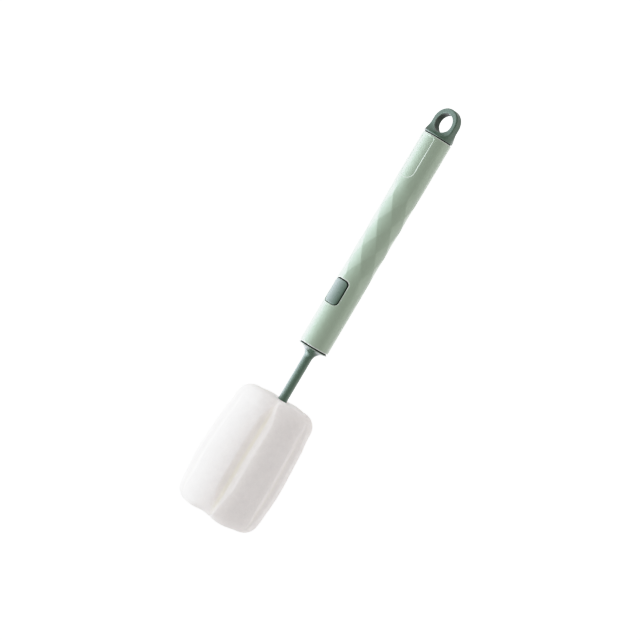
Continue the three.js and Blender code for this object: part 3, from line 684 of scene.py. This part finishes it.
def make_stem():
    verts, quads, normals = polygonise(stem_field, (-11.0, -11.0, -276.9), (11.0, 11.0, -117.2), 0.34)
    stem = add_piece("plug_in_stem", verts, quads, STEM, normals)
    # painted highlight on the flange's outer edge
    mark_edges(stem, lambda x, y, z: 0.7 * smoothstep(10.05, 10.25, np.hypot(x, y)) * smoothstep(-173.2, -173.4, z))
    # painted shade on the neck, in the gap under the handle
    mark_edges(stem, lambda x, y, z: smoothstep(-173.15, -173.0, z) * (z < -172.2) * (np.abs(np.hypot(x, y) - 9.2) < 0.56), "gap")
    return stem


def make_latch_strip():
    """A formed steel strip: toe, lower limb, hairpin, upper limb, ramp and hook."""
    t, half_w = 0.5, 1.5
    low, bend = 1.45, 0.75
    path = [(0.25, -16.0), (low, -16.0), (low, 11.0)]
    for k in range(1, 16):
        a = -math.pi / 2 + math.pi * k / 16
        path.append((low + bend + bend * math.sin(a), 11 + bend * math.cos(a)))
    path += [(low + 2 * bend, 11), (low + 2 * bend, 3.2), (4.65, 0.8), (4.65, -1.75), (3.0, -1.75)]
    # round the corners of the path
    path = np.array(path)
    for _ in range(2):
        keep = [path[0]]
        for k in range(1, len(path) - 1):
            a, b, c = path[k - 1], path[k], path[k + 1]
            la, lc = np.linalg.norm(a - b), np.linalg.norm(c - b)
            r = min(0.25, la / 3, lc / 3)
            keep += [b + (a - b) / la * r, b + (c - b) / lc * r]
        keep.append(path[-1])
        path = np.array(keep)
    along = np.gradient(path, axis=0)
    along /= np.linalg.norm(along, axis=1)[:, None]
    across = np.stack([-along[:, 1], along[:, 0]], 1)
    bevel = 0.08
    section = [
        (-half_w, -t / 2 + bevel), (-half_w + bevel, -t / 2), (half_w - bevel, -t / 2), (half_w, -t / 2 + bevel),
        (half_w, t / 2 - bevel), (half_w - bevel, t / 2), (-half_w + bevel, t / 2), (-half_w, t / 2 - bevel),
    ]
    verts = []
    for p, n in zip(path, across):
        for x, d in section:
            q = p + n * d
            verts.append((x, -q[0], BUTTON_Z + q[1]))
    faces = ring_faces(len(path), len(section))
    faces += [tuple(range(8))[::-1], tuple((len(path) - 1) * 8 + i for i in range(8))]
    strip = add_piece("latch_strip", np.array(verts), faces, STEEL)
    face_out(strip)
    sharpen(strip, 50)
    return strip


# ---- foam head ------------------------------------------------------------------------------------------
FOAM_ROWS = [
    (3.35, -1.5, 0.0), (7, -1.5, 0.03), (12.5, -1.4, 0.13), (17, -0.9, 0.28), (20.7, -1.3, 0.48), (23.9, -2.7, 0.68), (26.6, -5.3, 0.86),
    (28.5, -9.4, 1), (29.1, -17, 1), (30.2, -26, 1), (31.2, -41.5, 1), (31.7, -52.5, 1), (31.5, -63, 1), (30.8, -73, 1), (29.9, -82.4, 1),
    (28.6, -86.6, 0.92), (26.1, -89.6, 0.76), (22.0, -91.7, 0.58), (16, -92.6, 0.36), (8, -92.2, 0.12), (0.4, -91.8, 0),
]


def smooth_profile(rows, per):
    """Points on a smooth curve through the rows."""
    p = np.array(rows, float)
    out = []
    for i in range(len(p) - 1):
        a, b, c, d = p[max(i - 1, 0)], p[i], p[i + 1], p[min(i + 2, len(p) - 1)]
        n = max(2, int(round(np.hypot(*(c - b)[:2]) / per)))
        for k in range(n):
            t = k / n
            m0, m1 = (c - a) / 2, (d - b) / 2
            out.append((2 * t**3 - 3 * t**2 + 1) * b + (t**3 - 2 * t**2 + t) * m0 + (-2 * t**3 + 3 * t**2) * c + (t**3 - t**2) * m1)
    out.append(p[-1])
    return np.array(out)


def lattice_noise(p, scale, seed):
    """Smooth value noise on a fixed random lattice."""
    table = np.random.RandomState(seed).uniform(-1, 1, 4096)
    q = p * scale
    base = np.floor(q).astype(np.int64)
    f = q - base
    f = f * f * (3 - 2 * f)
    total = np.zeros(len(p))
    for i in (0, 1):
        for j in (0, 1):
            for k in (0, 1):
                h = (base[:, 0] + i) * 73856093 ^ (base[:, 1] + j) * 19349663 ^ (base[:, 2] + k) * 83492791
                w = (f[:, 0] if i else 1 - f[:, 0]) * (f[:, 1] if j else 1 - f[:, 1]) * (f[:, 2] if k else 1 - f[:, 2])
                total += w * table[np.mod(h, 4096)]
    return total


def make_foam():
    columns = 300
    prof = smooth_profile(FOAM_ROWS, 0.95)
    slope = np.gradient(prof[:, :2], axis=0)
    normal = np.stack([-slope[:, 1], slope[:, 0]], 1)
    normal /= np.linalg.norm(normal, axis=1)[:, None]
    lobe = TAU / FOAM_LOBES
    half, in_groove = columns // FOAM_LOBES // 2, 13

    def spread(lip):
        """Angles of the columns, and how far each is from its groove, with a column along both lips of each groove."""
        away = np.concatenate([
            lip * (np.arange(in_groove) / in_groove),
            lip + (lobe / 2 - lip) * (np.arange(half + 1 - in_groove) / (half - in_groove)) ** 1.3,
        ])
        inside = np.concatenate([away, lobe - away[-2:0:-1]])
        angle = np.concatenate([GROOVE_FIRST + k * lobe + inside for k in range(FOAM_LOBES)])
        return angle, np.tile(np.minimum(inside, lobe - inside), FOAM_LOBES)

    verts, apart = [], []
    for (r, drop, share), (nr, nz) in zip(prof, normal):
        # each groove is widest at mid height and closes towards its ends, where the lobes round off
        narrow = float((0.3 + 0.7 * smoothstep(-1, -20, drop)) * (0.25 + 0.75 * smoothstep(-92, -64, drop)))
        lip = math.radians(10) * narrow
        angle, away = spread(lip)
        t = np.minimum(away / lip, 1)
        groove = 0.41 * (1 + np.cos(math.pi * t)) + 0.18 * (1 - t * t)
        ends = (0.4 * smoothstep(-16, -4, drop) + 0.5 * smoothstep(-76, -90, drop)) * smoothstep(5, 15, r)
        nearest = np.round((angle - GROOVE_FIRST) / lobe).astype(int) % FOAM_LOBES
        swell = 0.5 * (1 + np.cos(math.pi * away / (lobe / 2)))
        depth = GROOVE_DEPTHS[nearest] * share * narrow**1.2 * groove + ends * swell
        radius = r - nr * depth
        z = FOAM_TOP_Z + drop - nz * depth
        # the soft head leans a little to one side, and a shallow trough joins two of its grooves across the bottom
        lean = float(smoothstep(4, 12, r) * (0.5 + 0.5 * smoothstep(0, -45, drop))) * np.array([-0.77, -0.64])
        beside = radius * np.sin(angle - GROOVE_FIRST)
        z = z + 1.9 * smoothstep(-84, -91, drop) * np.exp(-(((beside + 7) / 7) ** 2))
        verts.append(np.stack([radius * np.sin(angle) + lean[0], -radius * np.cos(angle) + lean[1], z], 1))
        apart.append(away)
    rows = len(verts)
    angle, _ = spread(math.radians(3))
    verts = np.concatenate(verts)
    # soft unevenness of cut foam, fading out at the stem
    out = verts - np.array([0, 0, -258.0])
    out[:, 2] *= 0.25
    out /= np.linalg.norm(out, axis=1)[:, None]
    size = 0.07 * lattice_noise(verts, 1 / 7.0, 3) + 0.04 * lattice_noise(verts, 1 / 2.2, 5) + 0.02 * lattice_noise(verts, 1 / 1.1, 8)
    calm = smoothstep(4, 9, np.hypot(verts[:, 0], verts[:, 1]))
    size = size * (0.25 + 0.75 * smoothstep(9, 16, np.degrees(np.concatenate(apart))))
    verts = verts + out * ((size - 0.12) * calm)[:, None]
    # the hollow that the stem and its barbed core fill
    hollow = [(3.5, -216.5), (3.62, -225.65), (5.35, -225.65), (5.35, -231.65)]
    for k in range(3):
        z = -232 - 12 * k
        hollow += [(8.85, z + 0.35), (8.85, z - 1.0), (5.35, z - 12 + 0.35)]
    hollow += [(8.35, -267.65), (8.35, -269.0), (2.55, -284.35), (0.3, -284.35)]
    inner = [np.stack([r * np.sin(angle), -r * np.cos(angle), np.full(columns, z)], 1) for r, z in hollow]
    count = len(verts)
    # rows run from the hollow's tip up to the stem's hole, then over the outside to the lower end
    stack = np.concatenate([np.concatenate(inner[::-1]), verts])
    total = len(inner) + rows
    faces = ring_faces(total, columns)
    faces += [tuple(range(columns)), tuple((total - 1) * columns + i for i in range(columns))]
    sponge = add_piece("foam_head", stack, faces, FOAM)
    face_out(sponge)
    sharpen(sponge, 60)

    # painted warm bounce light along the grooves, strongest in the deepest ones, fading out towards the top and bottom
    def painted_groove_tint(x, y, z):
        lean = 0.5 + 0.5 * smoothstep(FOAM_TOP_Z, FOAM_TOP_Z - 45, z)
        turn = (np.arctan2(x + 0.77 * lean, -y - 0.64 * lean) - GROOVE_FIRST) / lobe
        away = np.degrees(np.abs(turn - np.round(turn)) * lobe)
        tint = GROOVE_DEPTHS[np.round(turn).astype(int) % FOAM_LOBES] / 3.8
        return tint * smoothstep(3.6, 0.8, away) * smoothstep(FOAM_TOP_Z - 5, FOAM_TOP_Z - 20, z) * smoothstep(FOAM_TOP_Z - 91, FOAM_TOP_Z - 74, z)

    mark_edges(sponge, painted_groove_tint)
    return sponge


# ---- the pieces -----------------------------------------------------------------------------------------
made = [
    (make_handle(), "handle", "handle_shell", "pale_plastic"),
    (make_cap(), "handle", "hanger_cap", "dark_plastic"),
    (make_button(), "button", "release_button", "dark_plastic"),
    (make_button_spring(), "handle", "button_spring", "spring_steel"),
    (make_stem(), "head", "brush_stem", "dark_plastic"),
    (make_latch_strip(), "head", "latch_spring", "spring_steel"),
    (make_foam(), "head", "sponge_head", "foam"),
]
pieces = {}
for obj, body, node, slot in made:
    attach(obj, body)
    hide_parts(node)
    pieces[obj.name] = obj
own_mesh(pieces["coil_spring"])
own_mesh(pieces["latch_strip"])
for node in ("latch_sleeve", "sponge_core"):
    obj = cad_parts[node]
    obj.data.materials.clear()
    obj.data.materials.append(IVORY)

# ---- stage: pale floor, soft side light, white surroundings ---------------------------------------------
AZIMUTH, ELEVATION, ROLL = math.radians(40), math.radians(2), math.radians(30.67)
towards = Vector((math.sin(AZIMUTH) * math.cos(ELEVATION), -math.cos(AZIMUTH) * math.cos(ELEVATION), math.sin(ELEVATION)))
side = Vector((math.cos(AZIMUTH), math.sin(AZIMUTH), 0))
over = towards.cross(side)
right = side * math.cos(ROLL) + over * math.sin(ROLL)
up = over * math.cos(ROLL) - side * math.sin(ROLL)

floor_mesh = bpy.data.meshes.new("floor")
ring = [(1.2 * math.cos(TAU * k / 96), 1.2 * math.sin(TAU * k / 96), -1.9) for k in range(96)]
floor_mesh.from_pydata(ring, [], [tuple(range(96))])
floor = bpy.data.objects.new("floor", floor_mesh)
bpy.context.scene.collection.objects.link(floor)
paper, nodes, links, shader = material("pale_paper")
coords = nodes.new("ShaderNodeTexCoord").outputs["Object"]
links.new(
    ramp(nodes, links, noise(nodes, links, coords, 30, 3).outputs["Fac"], [(0.3, (0.86, 0.86, 0.86)), (0.7, (0.9, 0.9, 0.9))]).outputs["Color"],
    shader.inputs["Base Color"],
)
shader.inputs["Roughness"].default_value = 0.9
floor_mesh.materials.append(paper)

world = bpy.data.worlds.new("studio")
bpy.context.scene.world = world
world.use_nodes = True
wn, wl = world.node_tree.nodes, world.node_tree.links
wn.clear()
direction = wn.new("ShaderNodeTexCoord").outputs["Generated"]


def soft_light(vector, colour, power):
    """Wide soft light from one side, falling off as a power of the cosine to its direction."""
    dot = wn.new("ShaderNodeVectorMath")
    dot.operation = "DOT_PRODUCT"
    wl.new(direction, dot.inputs[0])
    dot.inputs[1].default_value = vector.normalized()
    clip = wn.new("ShaderNodeMath")
    clip.operation = "MAXIMUM"
    wl.new(dot.outputs["Value"], clip.inputs[0])
    clip.inputs[1].default_value = 0.0
    square = wn.new("ShaderNodeMath")
    square.operation = "POWER"
    wl.new(clip.outputs[0], square.inputs[0])
    square.inputs[1].default_value = power
    scale = wn.new("ShaderNodeVectorMath")
    scale.operation = "SCALE"
    scale.inputs[0].default_value = colour
    wl.new(square.outputs[0], scale.inputs["Scale"])
    return scale.outputs["Vector"]


def along(azimuth, height):
    """Direction by its angle round the brush, 0 at the camera and 90 to its right, and its height along the brush."""
    a, h = math.radians(azimuth), math.radians(height)
    front = Vector((math.sin(AZIMUTH), -math.cos(AZIMUTH), 0))
    return side * (math.sin(a) * math.cos(h)) + front * (math.cos(a) * math.cos(h)) + Vector((0, 0, math.sin(h)))


def total(*parts):
    out = parts[0]
    for part in parts[1:]:
        add = wn.new("ShaderNodeVectorMath")
        add.operation = "ADD"
        wl.new(out, add.inputs[0])
        wl.new(part, add.inputs[1])
        out = add.outputs["Vector"]
    return out


# a broad key from the left, a fill from behind on the right, and pale cards that only show in the gloss
rays = wn.new("ShaderNodeLightPath")
key = total(soft_light(along(-100, 0), (2.2, 2.38, 2.62), 6), soft_light(along(-100, 0), (0.46, 0.47, 0.48), 1))
fill = soft_light(along(140, 0), (1.99, 1.95, 2.0), 6)
cards = total(
    soft_light(along(-120, -45), (4.3, 4.3, 4.9), 2.5),
    soft_light(along(-60, -45), (7.7, 8.6, 9.4), 6),
    soft_light(along(-92, 0), (2.4, 2.5, 2.9), 3),
    soft_light(along(80, 15), (2.9, 3.0, 2.8), 14),
)
only_gloss = wn.new("ShaderNodeVectorMath")
only_gloss.operation = "SCALE"
wl.new(cards, only_gloss.inputs[0])
wl.new(rays.outputs["Is Glossy Ray"], only_gloss.inputs["Scale"])
all_round = wn.new("ShaderNodeVectorMath")
all_round.operation = "ADD"
wl.new(total(key, fill, only_gloss.outputs["Vector"]), all_round.inputs[0])
all_round.inputs[1].default_value = (0.705, 0.67, 0.685)
lit = wn.new("ShaderNodeBackground")
wl.new(all_round.outputs["Vector"], lit.inputs["Color"])
seen = wn.new("ShaderNodeBackground")
seen.inputs["Color"].default_value = (1, 1, 1, 1)
seen.inputs["Strength"].default_value = 1.5
choose = wn.new("ShaderNodeMixShader")
wl.new(rays.outputs["Is Camera Ray"], choose.inputs["Fac"])
wl.new(lit.outputs[0], choose.inputs[1])
wl.new(seen.outputs[0], choose.inputs[2])
wl.new(choose.outputs[0], wn.new("ShaderNodeOutputWorld").inputs["Surface"])

scene = bpy.context.scene
scene.view_settings.view_transform = "Standard"
scene.view_settings.look = "None"
# soft shoulder, as film has it, so that the lit side of the white foam keeps its shape
scene.view_settings.use_curve_mapping = True
shoulder = scene.view_settings.curve_mapping
shoulder.white_level = (4, 4, 4)
shoulder.extend = "HORIZONTAL"
points = shoulder.curves[3].points
points[0].location, points[1].location = (0, 0), (1, 1)
for light, tone in ((0.2, 0.2), (0.4, 0.4), (0.6, 0.6), (0.75, 0.75), (0.9, 0.86), (1.05, 0.918), (1.2, 0.955), (1.35, 0.982), (1.45, 1)):
    points.new(light / 4, tone)
for point in points:
    if point.location.x < 0.19:
        point.handle_type = "VECTOR"
shoulder.update()

# ---- camera ---------------------------------------------------------------------------------------------
LENS = 150.0
WIDTH = 640 * 0.665 * MM  # of the picture at the brush
distance = WIDTH / 2 / (18.0 / LENS)
aim = right * (-125.8 * 0.665 * MM) + up * (-195.4 * 0.665 * MM)
camera_data = bpy.data.cameras.new("camera")
camera_data.lens, camera_data.sensor_width = LENS, 36.0
camera_data.clip_start, camera_data.clip_end = 0.05, 50
camera = bpy.data.objects.new("camera", camera_data)
scene.collection.objects.link(camera)
place = aim + towards * distance
camera.matrix_world = Matrix(
    (
        (right.x, up.x, towards.x, place.x),
        (right.y, up.y, towards.y, place.y),
        (right.z, up.z, towards.z, place.z),
        (0, 0, 0, 1),
    )
)
scene.camera = camera
